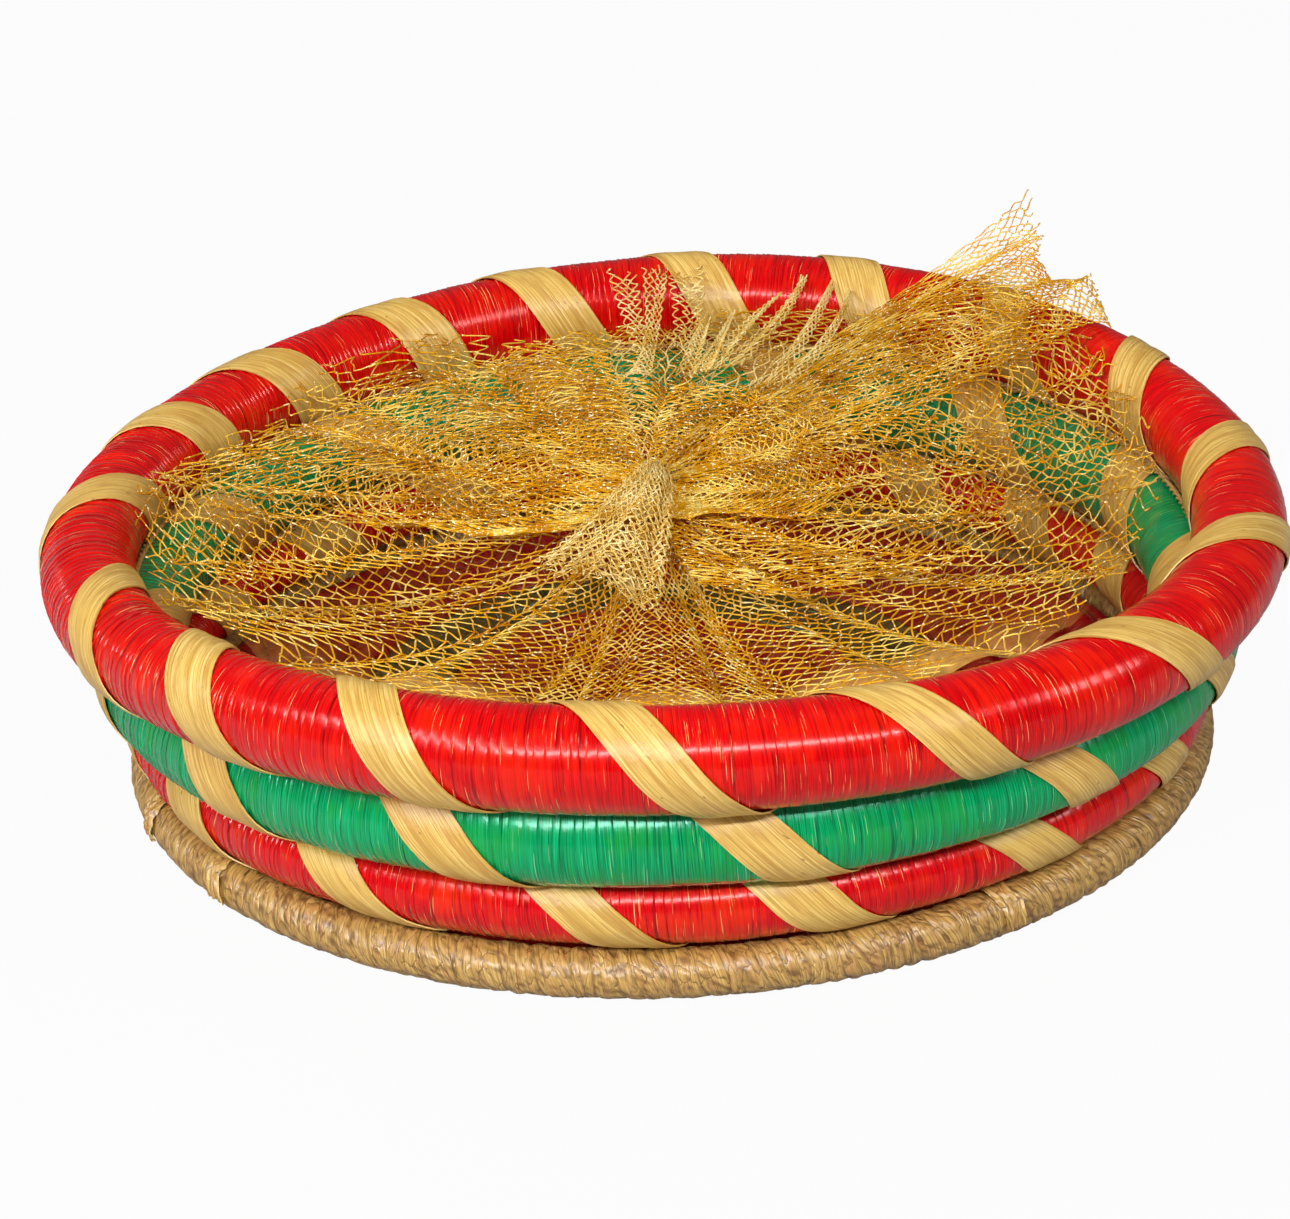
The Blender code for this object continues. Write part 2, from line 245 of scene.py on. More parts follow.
def crumpled(tree, source, scale, warp):
    # distance to the nearest crease of a crumpled skin
    mapping = tree.nodes.new("ShaderNodeMapping")
    mapping.inputs["Scale"].default_value = scale
    tree.links.new(source, mapping.inputs["Vector"])
    bend = tree.nodes.new("ShaderNodeTexNoise")
    bend.inputs["Scale"].default_value = 0.9
    tree.links.new(mapping.outputs["Vector"], bend.inputs["Vector"])
    shift = tree.nodes.new("ShaderNodeVectorMath")
    shift.operation = "MULTIPLY_ADD"
    shift.inputs[1].default_value = (warp, warp, warp)
    tree.links.new(bend.outputs["Color"], shift.inputs[0])
    tree.links.new(mapping.outputs["Vector"], shift.inputs[2])
    crease = tree.nodes.new("ShaderNodeTexVoronoi")
    crease.voronoi_dimensions = "2D"
    crease.feature = "DISTANCE_TO_EDGE"
    crease.inputs["Scale"].default_value = 1
    tree.links.new(shift.outputs["Vector"], crease.inputs["Vector"])
    return crease.outputs["Distance"]


def ramp(tree, value, stops):
    node = tree.nodes.new("ShaderNodeValToRGB")
    points = node.color_ramp.elements
    while len(points) < len(stops):
        points.new(0.5)
    for point, (position, colour) in zip(points, stops):
        point.position = position
        point.color = colour if hasattr(colour, "__len__") else (colour, colour, colour, 1)
    tree.links.new(value, node.inputs["Fac"])
    return node.outputs["Color"]


def feed(tree, socket, value):
    # links a node's output to a socket, or sets the socket to a plain value
    if hasattr(value, "is_output"):
        tree.links.new(value, socket)
    else:
        socket.default_value = value


def mixColour(tree, factor, first, second):
    node = tree.nodes.new("ShaderNodeMix")
    node.data_type = "RGBA"
    for socket, value in (("Factor", factor), ("A", first), ("B", second)):
        feed(tree, node.inputs[socket], value)
    return node.outputs["Result"]


def maths(tree, operation, first, second=0.0):
    node = tree.nodes.new("ShaderNodeMath")
    node.operation = operation
    for socket, value in zip(node.inputs, (first, second)):
        feed(tree, socket, value)
    return node.outputs["Value"]


def addBump(tree, shader, height, distance):
    bump = tree.nodes.new("ShaderNodeBump")
    bump.inputs["Distance"].default_value = distance
    bump.inputs["Strength"].default_value = 1
    tree.links.new(height, bump.inputs["Height"])
    tree.links.new(bump.outputs["Normal"], shader.inputs["Normal"])


def uvAndPlace(tree):
    uv = tree.nodes.new("ShaderNodeUVMap").outputs["UV"]
    place = tree.nodes.new("ShaderNodeTexCoord").outputs["Object"]
    return uv, place


def strandMaterial(name, look):
    # dyed leaf strips: fine lengthwise fibres, warm and dark stretches, painted shade in dark lines between
    # the strands, gold hairlines along the fibres
    material, tree, shader = newMaterial(name)
    uv, place = uvAndPlace(tree)
    fibres = stretchedNoise(tree, uv, (3000, 40, 1), 3, 0.65)
    strips = stretchedNoise(tree, uv, (700, 22, 1), 2, 0.6, shift=31)
    fields = stretchedNoise(tree, place, (60, 60, 90), 2, 0.5, "3D")
    patches = maths(tree, "ADD", maths(tree, "MULTIPLY", fields, 0.6), maths(tree, "MULTIPLY", strips, 0.4))
    ripples = stretchedNoise(tree, uv, (1300, 240, 1), 2, 0.6, shift=47)
    flecks = stretchedNoise(tree, uv, (4200, 55, 1), 1, 0.5, shift=11)
    base = ramp(tree, fibres, ((0.28, look["deep"]), (0.5, look["main"]), (0.74, look["bright"])))
    warmth = ramp(tree, patches, ((0.49, 0.0), (0.60, look["warmShare"])))
    base = mixColour(tree, warmth, base, look["warm"])
    # painted shade: dark lines in the groove colour where the strands meet
    base = mixColour(tree, ramp(tree, strips, ((0.27, 0.65), (0.36, 0.0))), base, look["groove"])
    mask = ramp(tree, flecks, ((look["fleckStart"], 0.0), (look["fleckStart"] + 0.03, 0.85)))
    base = mixColour(tree, mask, base, look["fleck"])
    tree.links.new(base, shader.inputs["Base Color"])
    roughness = ramp(tree, fibres, ((0.3, look["glossLow"]), (0.75, look["glossHigh"])))
    tree.links.new(roughness, shader.inputs["Roughness"])
    height = maths(tree, "ADD", maths(tree, "ADD", fibres, strips), ripples)
    addBump(tree, shader, height, look["bumpHeight"])
    shader.inputs["Specular IOR Level"].default_value = look["specular"]
    shader.inputs["Specular Tint"].default_value = look["sheen"]
    shader.inputs["Coat Weight"].default_value = look["coat"]
    shader.inputs["Coat Roughness"].default_value = look["coatRoughness"]
    return material


def leafMaterial(name, look):
    # flat leaf strip: straight fine veins, a few brown specks and a satin sheen, with painted shade in the
    # creases and folds where a piece has them
    material, tree, shader = newMaterial(name)
    uv, place = uvAndPlace(tree)
    veins = stretchedNoise(tree, uv, (2200, 16, 1), 3, 0.65)
    tone = stretchedNoise(tree, uv, (520, 55, 1), 3, 0.65, shift=5)
    specks = stretchedNoise(tree, uv, (700, 300, 1), 2, 0.5, shift=17)
    ripples = stretchedNoise(tree, uv, (900, 160, 1), 2, 0.6, shift=41)
    base = ramp(tree, veins, ((0.28, look["deep"]), (0.5, look["main"]), (0.72, look["bright"])))
    shadow = ramp(tree, tone, ((0.46, 0.0), (0.66, 0.75)))
    base = mixColour(tree, shadow, base, look["shade"])
    mask = ramp(tree, specks, ((look["speckStart"], 0.0), (0.80, 0.8)))
    base = mixColour(tree, mask, base, look["speckAndPaintedShade"])
    folds = None
    # painted shade: darker along the creases of the crumpled husk, which are also the valleys of its bump
    if "creaseShade" in look:
        folds = crumpled(tree, uv, (210, 90, 1), 1.7)
        creaseShade = ramp(tree, folds, ((0.0, look["creaseShade"]), (0.045, 0.0)))
        base = mixColour(tree, creaseShade, base, look["speckAndPaintedShade"])
    # painted shade from the shade attribute, darkened towards the speck colour, which serves both real specks
    # and painted shade
    shade = tree.nodes.new("ShaderNodeAttribute")
    shade.attribute_name = "shade"
    base = mixColour(tree, maths(tree, "MULTIPLY", shade.outputs["Fac"], 0.8), base, look["speckAndPaintedShade"])
    tree.links.new(base, shader.inputs["Base Color"])
    tree.links.new(ramp(tree, veins, ((0.3, 0.28), (0.7, 0.44))), shader.inputs["Roughness"])
    dents = stretchedNoise(tree, place, (240, 240, 240), 2, 0.5, "3D", shift=23)
    height = maths(tree, "ADD", veins, maths(tree, "MULTIPLY", dents, look["dents"]))
    height = maths(tree, "ADD", height, ripples)
    if folds:
        swollen = ramp(tree, folds, ((0.0, 0.0), (0.35, 1.0)))
        height = maths(tree, "ADD", maths(tree, "MULTIPLY", height, 0.25), swollen)
    addBump(tree, shader, height, look["bumpHeight"])
    shader.inputs["Specular IOR Level"].default_value = look["specular"]
    return material


def strawMaterial(name, look):
    # cut straw: stalks side by side, each of its own tone
    material, tree, shader = newMaterial(name, 0.6)
    place = tree.nodes.new("ShaderNodeTexCoord").outputs["Object"]
    stalks = stretchedNoise(tree, place, (420, 420, 420), 2, 0.6, "3D")
    tone = stretchedNoise(tree, place, (60, 60, 60), 2, 0.5, "3D", shift=13)
    base = ramp(tree, stalks, ((0.32, look["dark"]), (0.5, look["main"]), (0.66, look["pale"])))
    base = mixColour(tree, maths(tree, "MULTIPLY", tone, 0.4), base, look["dark"])
    tree.links.new(base, shader.inputs["Base Color"])
    addBump(tree, shader, stalks, 0.0005)
    return material


strandGloss = {"glossLow": 0.15, "glossHigh": 0.26, "specular": 0.60, "coat": 0.28, "coatRoughness": 0.17,
               "bumpHeight": 0.00005}
# the groove colours are painted shade in the lines between the strands
redLook = {
    "deep": srgb(134, 0, 4), "main": srgb(198, 1, 5), "bright": srgb(228, 10, 10),
    "warm": srgb(228, 34, 2), "warmShare": 0.5, "groove": srgb(80, 0, 6),
    "fleck": srgb(252, 206, 130), "fleckStart": 0.755, "sheen": (1, 0.22, 0.20, 1),
}
greenLook = {
    "deep": srgb(0, 92, 48), "main": srgb(0, 142, 80), "bright": srgb(14, 180, 116),
    "warm": srgb(30, 146, 44), "warmShare": 0.5, "groove": srgb(0, 40, 20),
    "fleck": srgb(180, 226, 170), "fleckStart": 0.765, "sheen": (0.2, 0.85, 0.62, 1),
}
crimson = {"main": srgb(204, 2, 16), "warm": srgb(230, 50, 4)}
dullRed = {
    "deep": srgb(90, 8, 12), "main": srgb(150, 16, 22), "bright": srgb(185, 34, 30),
    "warm": srgb(140, 50, 20),
}
dullGreen = {
    "deep": srgb(44, 36, 16), "main": srgb(76, 64, 30), "bright": srgb(100, 92, 48),
    "warm": srgb(96, 66, 30),
}
leafLook = {
    "deep": srgb(172, 126, 50), "main": srgb(212, 172, 84), "bright": srgb(238, 208, 132),
    "shade": srgb(184, 136, 60), "speckAndPaintedShade": srgb(140, 94, 38), "speckStart": 0.74, "bumpHeight": 0.0001,
    "specular": 0.6, "dents": 3,
}
huskLook = {
    "deep": srgb(146, 102, 34), "main": srgb(190, 150, 76), "bright": srgb(220, 190, 120),
    "shade": srgb(184, 130, 78), "speckAndPaintedShade": srgb(92, 54, 14), "speckStart": 0.70, "bumpHeight": 0.0003,
    "specular": 0.8, "dents": 1, "creaseShade": 0.9,
}
strawLook = {"dark": srgb(150, 112, 52), "main": srgb(206, 172, 98), "pale": srgb(232, 208, 146)}
redStrands = strandMaterial("dyed_leaf_red", {**strandGloss, **redLook})
greenStrands = strandMaterial("dyed_leaf_green", {**strandGloss, **greenLook})
lowerStrands = strandMaterial("dyed_leaf_crimson", {**strandGloss, **redLook, **crimson})
floorRed = strandMaterial("dyed_leaf_dull_red", {**strandGloss, **redLook, **dullRed})
floorGreen = strandMaterial("dyed_leaf_dull_green", {**strandGloss, **greenLook, **dullGreen})
leaf = leafMaterial("palm_leaf", leafLook)
husk = leafMaterial("husk", huskLook)
straw = strawMaterial("straw_bundle", strawLook)
for part in ("rim", "middle", "lower", "foot"):
    bpy.data.objects[part + "_core"].material_slots[0].material = straw
print("materials ready")


# wall coils: overlapping leaf strips wound round the bundle, and the ribbon over them

def stripEdges(look):
    # where each turn of a winding begins on the ring: wide strips in some places, narrow strands in others
    turns = look["turns"]
    rng = seeded(look["seed"])
    spacing = np.ones(turns)
    # a few rounds, because the places move as the widths change
    for _ in range(3):
        middles = (np.cumsum(spacing) - spacing / 2) / spacing.sum() * 360
        spacing = np.interp(middles, look["widthPlaces"], look["widths"], period=360)
    spacing *= rng.uniform(*look["spread"], turns)
    edges = np.concatenate([[0], np.cumsum(np.tile(spacing, 2))])
    return edges / edges[turns] * tau


def windStrips(name, coil, look):
    # one unbroken strip wound side by side round a coil, as a thin closed band with rounded edges
    turns = look["turns"]
    strip, across, run = addGrid(name, 4, turns * look["around"])
    corner = np.rint((across + 0.5) * 4).astype(int)
    t = run * turns
    edges = stripEdges(look)
    count = np.arange(len(edges))
    left, right = np.interp(t, count, edges), np.interp(t + 1, count, edges)
    width = (right - left) * coil["ring"]
    half = 0.5 * width
    lip = np.minimum(look["lipShare"] * width, look["lip"])
    outward = np.choose(corner, [-half, -half + lip, half - lip, half, -half])
    outward = outward + np.choose(corner, [-1, 0, 0, 1, -1]) * look["overlap"]
    around = -tau * t
    azimuth = (left + right) / 2 + math.radians(look["startAzimuth"])
    sway = look["sway"] * waves(azimuth, around, look["seed"] + 2, 12, 5, 60)
    azimuth = azimuth + (outward + sway) / coil["ring"]
    depth = np.choose(corner, [-look["groove"], 0, look["shingle"], -look["groove"], -look["groove"]])
    lumps = look["lumps"] * waves(azimuth, around, look["seed"] + 3)
    turnLift = look["turnLift"] * wander(t, look["seed"] + 4, 1.0)
    reach = coil["tube"] - look["inset"] + depth + lumps + turnLift + pressed(around, look["presses"])
    reach = reach + swelled(around, look)
    placeVerts(strip, coilPoint(coil, azimuth, around, reach))
    setUv(strip, outward, t * tau * coil["tube"])
    closeTube(strip)
    return strip


def turnAzimuth(t, places):
    # azimuth of a ribbon after t turns: places are where its turns cross the outer side, in degrees
    count = len(places)
    turn = np.arange(-count, 3 * count)
    return np.interp(t, turn, np.radians([places[i % count] + 360 * (i // count) for i in turn]))


def windRibbon(name, coil, look):
    # the palm ribbon: one flat strip wound wide apart over the strips, its ends tucked in under the coil
    places = look["places"]
    turns = len(places)
    ribbon, across, run = addGrid(name, look["across"], turns * look["around"])
    slope = math.atan2(tau * coil["ring"] / turns, tau * coil["tube"])
    first = int(np.searchsorted(places, look["endAzimuth"]))
    t = first + look["endTurn"] + run * turns
    around = -tau * t
    width = look["width"] * (1 + look["uneven"] * wander(t, look["seed"], 0.5)) / math.cos(slope)
    reach = coil["tube"] + look["proud"]
    rho = coil["ring"] + reach * np.cos(around)
    sway = look["sway"] * wander(t, look["seed"] + 1, 0.3)
    azimuth = turnAzimuth(t, places) + (across * width + sway) / rho
    ends = np.minimum(run, 1 - run) * turns
    tuck = -look["tuck"] * np.clip(1 - ends / look["tuckTurns"], 0, 1)
    edge = -look["curl"] * (2 * np.abs(across)) ** 4
    reach = reach + edge + tuck + look["lumps"] * waves(azimuth, around, look["seed"] + 2, 8, 20, 90)
    reach = reach + look["pressShare"] * pressed(around, look["presses"]) + swelled(around, look)
    placeVerts(ribbon, coilPoint(coil, azimuth, around, reach))
    setUv(ribbon, across * look["width"], t * tau * coil["tube"] / math.cos(slope))
    solidify(ribbon, look["thickness"])
    return ribbon


windings = {
    "rim": {
        "turns": 400, "around": 28, "seed": 11, "presses": [(-117, 0.0008)],
        "widthPlaces": [0, 60, 100, 200, 240, 280, 320], "widths": [1, 1, 1.6, 1.6, 2.4, 2.4, 1.1],
    },
    "middle": {
        "turns": 360, "around": 26, "seed": 23, "presses": [(63, 0.0008), (-98, 0.0008)],
        "swell": (-38, 0.0026),
        "widthPlaces": [0, 60, 100, 200, 240, 300, 330], "widths": [1, 1, 1.6, 1.6, 3.0, 3.0, 1.2],
    },
    "lower": {
        "turns": 360, "around": 22, "seed": 37, "presses": [(82, 0.0008), (-81, 0.0008)],
        "widthPlaces": [0, 60, 100, 200, 240, 300, 330], "widths": [1, 1, 1.6, 1.6, 3.0, 3.0, 1.2],
    },
}
windingLook = {"startAzimuth": 180, "spread": (0.55, 1.5), "lip": 0.0003, "lipShare": 0.3, "overlap": 0.00025,
               "sway": 0.0005, "groove": 0.00022, "shingle": 0.00012, "inset": 0.0006, "lumps": 0.00016,
               "turnLift": 0.00008, "swell": (0, 0)}
ribbonPlaces = {
    "rim": [0, 25, 52, 79, 100, 123, 143, 162, 181, 199, 215, 234, 249, 271, 298, 316, 337],
    "middle": [8, 40, 67, 93, 116, 147, 175, 203, 230, 257, 285, 312, 338],
    "lower": [13, 38, 61, 79, 97, 116, 134, 154, 174, 195, 216, 238, 260, 281, 302, 326, 352],
}
ribbonLook = {"across": 6, "around": 36, "width": 0.0152, "uneven": 0.05, "sway": 0.0005, "proud": 0.0001,
              "curl": 0.00025, "lumps": 0.00022, "pressShare": 0.8, "thickness": 0.0004, "endAzimuth": 180,
              "endTurn": 0.28, "tuck": 0.0022, "tuckTurns": 0.05}
wallStrands = {
    "rim": (redStrands, "red_strands"), "middle": (greenStrands, "green_strands"),
    "lower": (lowerStrands, "red_strands"),
}
for number, (part, (strands, slotName)) in enumerate(wallStrands.items()):
    winding = {**windingLook, **windings[part]}
    wound = windStrips(part + "_leaf_strips", stack[part], winding)
    finishPiece(wound, "basket", strands, (part + "_winding",), smooth=20)
    look = dict(ribbonLook, seed=50 + number, places=ribbonPlaces[part], presses=winding["presses"],
                swell=winding["swell"])
    ribbon = windRibbon(part + "_palm_ribbon", stack[part], look)
    finishPiece(ribbon, "basket", leaf, (part + "_ribbon",))


# foot: husk strips wound aslant, several at a time, with leaf loops that tie it to the wall

def windFoot(name, coil, look):
    # strips side by side round the foot, wavy and creased, with painted shade in the folds and along the
    # strip edges
    pieces = []
    for start in range(look["starts"]):
        turns = look["strips"] // look["starts"]
        strip, across, run = addGrid(name, look["across"], turns * look["around"])
        t = run * (turns + look["overrun"])
        spacing = look["spread"] * seeded(look["seed"]).uniform(-1, 1, look["strips"])
        count = np.arange(look["strips"] * 2)
        edges = count + np.tile(spacing, 2)
        number = look["starts"] * t + start
        left = np.interp(number, count, edges) / look["strips"] * tau
        right = np.interp(number + 1, count, edges) / look["strips"] * tau
        spot = across + 0.5
        around = -tau * t + look["slant"] * wander(t * 3, look["seed"] + 8 + start)
        overlapped = spot * (1 + look["overlap"]) - look["overlap"] / 2
        azimuth = left + (right - left) * overlapped + math.radians(look["startAzimuth"])
        sway = look["sway"] * waves(azimuth, around, look["seed"] + 2, 12, 20, 120)
        azimuth = azimuth + sway / coil["ring"]
        bulge = look["bulge"] * (1 - (2 * spot - 1) ** 4) - look["groove"]
        lumps = look["lumps"] * waves(azimuth, around, look["seed"] + 3, 30, 30, 240)
        folded = waves(azimuth, around * 3, look["seed"] + 4, 30, 120, 520)
        creases = look["creases"] * np.exp(-(folded / look["creaseWidth"]) ** 2)
        points = coilPoint(coil, azimuth, around, coil["tube"] + bulge + lumps - creases)
        points[:, 2] = np.maximum(points[:, 2], look["thickness"])
        placeVerts(strip, points)
        setUv(strip, across * look["uvWidth"], t * tau * coil["tube"] * look["uvStretch"])
        # painted shade: darker in the creased folds and towards each strip's edges, where the strips dip and
        # overlap
        dark = np.exp(-(folded / look["shadeWidth"]) ** 2)
        setShade(strip, np.maximum(dark, np.abs(2 * spot - 1) ** 12))
        pieces.append(strip)
    activate(pieces[0])
    for piece in pieces:
        piece.select_set(True)
    bpy.ops.object.join()
    solidify(pieces[0], look["thickness"])
    return pieces[0]


def leafLoop(name, azimuth, look):
    # a leaf strip looped over the foot coil and up against the lower coil
    loop, across, run = addGrid(name, 8, look["along"])
    foot = stack["foot"]
    bend = math.radians(look["first"]) + run * math.radians(look["last"] - look["first"])
    twist = look["twist"] * (run - 0.5)
    width = look["width"] * (1 + look["uneven"] * wander(run * 4, look["seed"]))
    sway = look["sway"] / foot["ring"] * wander(run * 5, look["seed"] + 1)
    side = azimuth + (across * width + twist) / foot["ring"] + sway
    crinkle = np.cos(across * look["crinkles"] + 6 * wander(run * 3, look["seed"] + 2))
    reach = foot["tube"] + look["proud"] + look["crinkle"] * crinkle
    points = coilPoint(foot, side, bend, reach)
    points[:, 2] = np.maximum(points[:, 2], look["thickness"])
    placeVerts(loop, points)
    setUv(loop, across * look["width"], run * look["length"])
    solidify(loop, look["thickness"])
    return loop


footLook = {"starts": 2, "strips": 180, "across": 6, "around": 36, "seed": 61, "startAzimuth": 180,
            "overrun": 0.3, "spread": 0.25, "slant": 0.25, "overlap": 0.16, "sway": 0.0012, "bulge": 0.0005,
            "groove": 0.0006, "lumps": 0.00022, "creases": 0.0002, "creaseWidth": 0.16, "shadeWidth": 0.13,
            "uvWidth": 0.012, "uvStretch": 1.4, "thickness": 0.0003}
loopLook = {"along": 40, "first": 128, "last": -18, "width": 0.0070, "length": 0.02, "uneven": 0.18,
            "twist": 0.004, "sway": 0.0006, "proud": 0.0009, "crinkle": 0.0005, "crinkles": 21,
            "thickness": 0.0003}
loopAzimuths = [-70, -54, 34, 95, 150, 210]
footHusk = windFoot("foot_husk_wrap", stack["foot"], footLook)
finishPiece(footHusk, "basket", husk, ("foot_winding",))
for number, azimuth in enumerate(loopAzimuths, 1):
    look = dict(loopLook, seed=80 + 5 * number)
    loop = leafLoop("foot_leaf_loop_%d" % number, math.radians(azimuth), look)
    finishPiece(loop, "basket", husk, ("foot_lashing_%d" % number,))


# floor: one cord wound inwards, covered with dyed strips in three lengths

floorCoil = {"cord": 0.0059, "tip": 0.0010, "gap": 0.0010, "edge": 0.1455, "eye": 0.0027, "height": 0.0080}


def floorSize(turn):
    # radius of the floor cord: its first turn swells from a thin tip
    return floorCoil["tip"] + (floorCoil["cord"] - floorCoil["tip"]) * np.minimum(1, turn)


def floorEdge(turn):
    # outer side of the floor cord: it leaves the foot coil, and each turn follows the one before
    first = turn % 1
    tipTurn = 2 * floorCoil["tip"] + floorCoil["gap"]
    edge = floorCoil["edge"] - tipTurn * first
    edge = np.where(turn >= 1, edge - 2 * floorSize(first) - floorCoil["gap"], edge)
    return edge - np.maximum(0, np.floor(turn) - 1) * (2 * floorCoil["cord"] + floorCoil["gap"])


def windFloor(name, start, stop, look):
    # strips wound round one length of the floor cord
    length = tau * (floorEdge(start * 1.0) + floorEdge(stop * 1.0)) / 2 * (stop - start)
    turns = int(length / look["pitch"])
    strip, across, run = addGrid(name, 1, turns * look["around"])
    t = run * turns
    side = (across + look["sway"] * wander(t, look["seed"])) * look["overlap"]
    spot = start + (stop - start) * np.clip(run + side / turns, 0, 1)
    size = floorSize(spot) + look["lumps"] * wander(t, look["seed"] + 1) + look["tilt"] * across
    around = -tau * t
    rho = floorEdge(spot) - floorSize(spot) + size * np.cos(around)
    azimuth = tau * spot
    z = floorCoil["height"] + size * np.sin(around)
    placeVerts(strip, np.stack([rho * np.sin(azimuth), -rho * np.cos(azimuth), z], -1))
    setUv(strip, across * look["pitch"], t * tau * floorCoil["cord"])
    solidify(strip, look["thickness"])
    return strip


floorSpan = (floorCoil["edge"] - 2 * floorCoil["tip"] - floorCoil["gap"]
             - 2 * floorCoil["cord"] - floorCoil["eye"])
floorTurns = 1 + floorSpan / (2 * floorCoil["cord"] + floorCoil["gap"])
floorLook = {"pitch": 0.0040, "around": 14, "sway": 0.1, "overlap": 1.3, "lumps": 0.00025, "tilt": 0.0003,
             "thickness": 0.0003}
floorLengths = (
    ("outer", 0, 0.41, floorRed, "maroon_strands"), ("middle", 0.41, 0.59, floorGreen, "green_strands"),
    ("centre", 0.59, 1, floorRed, "maroon_strands"),
)
for number, (name, start, stop, strands, slotName) in enumerate(floorLengths):
    look = dict(floorLook, seed=200 + number)
    wound = windFloor("floor_strips_" + name, start * floorTurns, stop * floorTurns, look)
    finishPiece(wound, "basket", strands, ("floor_coil_" + name,))


# stitching: a two-ply twisted cord in each inner groove

def twistedCord(name, first, second, look):
    # two plies that wind round each other, in the groove against both coils
    a = first["tube"] + look["gap"] + look["radius"]
    b = second["tube"] + look["gap"] + look["radius"]
    dx, dz = second["ring"] - first["ring"], second["height"] - first["height"]
    apart = math.hypot(dx, dz)
    along = (a * a - b * b + apart * apart) / (2 * apart)
    out = math.sqrt(a * a - along * along)
    ring = first["ring"] + (along * dx + out * dz) / apart
    height = first["height"] + (along * dz - out * dx) / apart
    plies = []
    for ply in range(2):
        tube, across, run = addGrid(name, 6, look["along"])
        azimuth = tau * run
        turn = look["twists"] * azimuth + math.pi * ply
        rho = ring + look["radius"] / 2 * np.cos(turn) + look["radius"] / 2 * np.cos(tau * across)
        z = height + look["radius"] / 2 * np.sin(turn) + look["radius"] / 2 * np.sin(tau * across)
        placeVerts(tube, settle(rho * np.sin(azimuth), -rho * np.cos(azimuth), z))
        setUv(tube, across * look["uvWidth"], run)
        closeTube(tube)
        plies.append(tube)
    activate(plies[0])
    plies[1].select_set(True)
    bpy.ops.object.join()
    return plies[0]


cordLook = {"radius": 0.0011, "gap": 0.0002, "twists": 150, "along": 1500, "uvWidth": 0.003}
for name, first, second in (("upper", "rim", "middle"), ("lower", "middle", "lower")):
    cord = twistedCord("sewing_twine_" + name, stack[first], stack[second], cordLook)
    finishPiece(cord, "basket", husk, ("sewing_cord_" + name,))


# net: yarns that zigzag outwards from the gather, each tied to its neighbours, in radiating pleats
# reach and height are the cloth's edge over its azimuths, in millimetres
# each kind of pleat: folds in a round, how far they slide sideways, and how high they stand

gather = {"x": -0.003, "y": 0.0, "radius": 0.0050, "height": 0.0805}
swirl = {"azimuths": [0, 30, 60, 90, 120, 240, 270, 300, 330, 345],
         "degrees": [0, -10, -20, -12, 0, 0, 10, 25, 12, 4]}
rowSpacing = {"azimuths": [0, 40, 70, 120, 240, 290, 320], "powers": [0.85, 0.9, 1.0, 1.0, 1.0, 1.0, 0.9]}
deepSag = {"azimuths": [0, 40, 70, 100, 130, 240, 262, 282, 305, 330],
           "depths": [2, 3, 4, 3, 0, 0, 3, 9, 8, 4]}
pleatLook = {"tighten": 0.45, "drift": 1.2, "sway": 0.8, "swayTurns": 3, "slant": 1.5}
skirt = {
    "columns": 340, "rows": 54, "start": 0, "stop": 360, "seed": 101,
    "stretch": [(1, -0.20, 0), (2, -0.35, 0)],
    "azimuths": [0, 30, 50, 67, 84, 104, 115, 123, 130, 136, 142, 152, 160, 169, 177, 184, 193,
                 200, 206, 213, 220, 226, 239, 247, 254, 261, 271, 276, 282, 293, 301, 330],
    "reach": [152, 150, 146, 142, 144, 150, 157, 163, 168, 170, 166, 152, 149, 147, 143, 137, 131,
              128, 127, 128, 130, 131, 131, 138, 150, 157, 156, 153, 153, 150, 149, 151],
    "height": [78, 78, 77, 76, 76, 77, 78, 88, 92, 94, 91, 82, 80, 79, 79, 79, 79,
               79, 79, 80, 80, 79, 77, 77, 79, 82, 82, 79, 77, 78, 79, 78],
    "sag": 0.004, "lift": 0.0, "deepSag": 1,
    "pleats": [(13, 0.80, 0.42), (29, 0.80, 0.38), (47, 0.75, 0.40), (79, 0.9, 0.40)],
}
leftFold = {
    "columns": 64, "rows": 48, "start": 190, "stop": 292, "seed": 131,
    "azimuths": [190, 202, 222, 230, 240, 247, 254, 261, 271, 282, 292],
    "reach": [112, 122, 108, 114, 124, 134, 149, 155, 150, 146, 136],
    "height": [83, 83, 82, 82, 81, 80, 81, 82, 81, 80, 79],
    "sag": 0.003, "lift": 0.002,
    "pleats": [(15, 0.8, 0.40), (33, 0.8, 0.4), (61, 0.7, 0.4)],
}
rightFold = {
    "columns": 44, "rows": 38, "start": 8, "stop": 128, "seed": 151,
    "azimuths": [8, 30, 44, 60, 75, 90, 100, 115, 128],
    "reach": [84, 96, 104, 112, 110, 102, 98, 96, 84],
    "height": [84, 83, 83, 83, 83, 83, 83, 84, 84],
    "sag": 0.003, "lift": 0.0015,
    "pleats": [(15, 0.8, 0.35), (33, 0.8, 0.35), (61, 0.7, 0.4)],
}
innerFold = {
    "columns": 150, "rows": 38, "start": 0, "stop": 360, "seed": 163,
    "azimuths": [0, 30, 50, 80, 105, 120, 135, 150, 165, 200, 230, 250, 270, 290, 310, 335],
    "reach": [28, 30, 50, 60, 52, 54, 62, 68, 74, 84, 92, 88, 98, 88, 50, 28],
    "height": [83, 83, 84, 84, 84, 85, 87, 86, 84, 84, 84, 84, 84, 84, 84, 83],
    "sag": 0.0015, "lift": 0.0005,
    "pleats": [(11, 0.9, 0.5), (27, 0.9, 0.4), (51, 0.8, 0.4)],
}
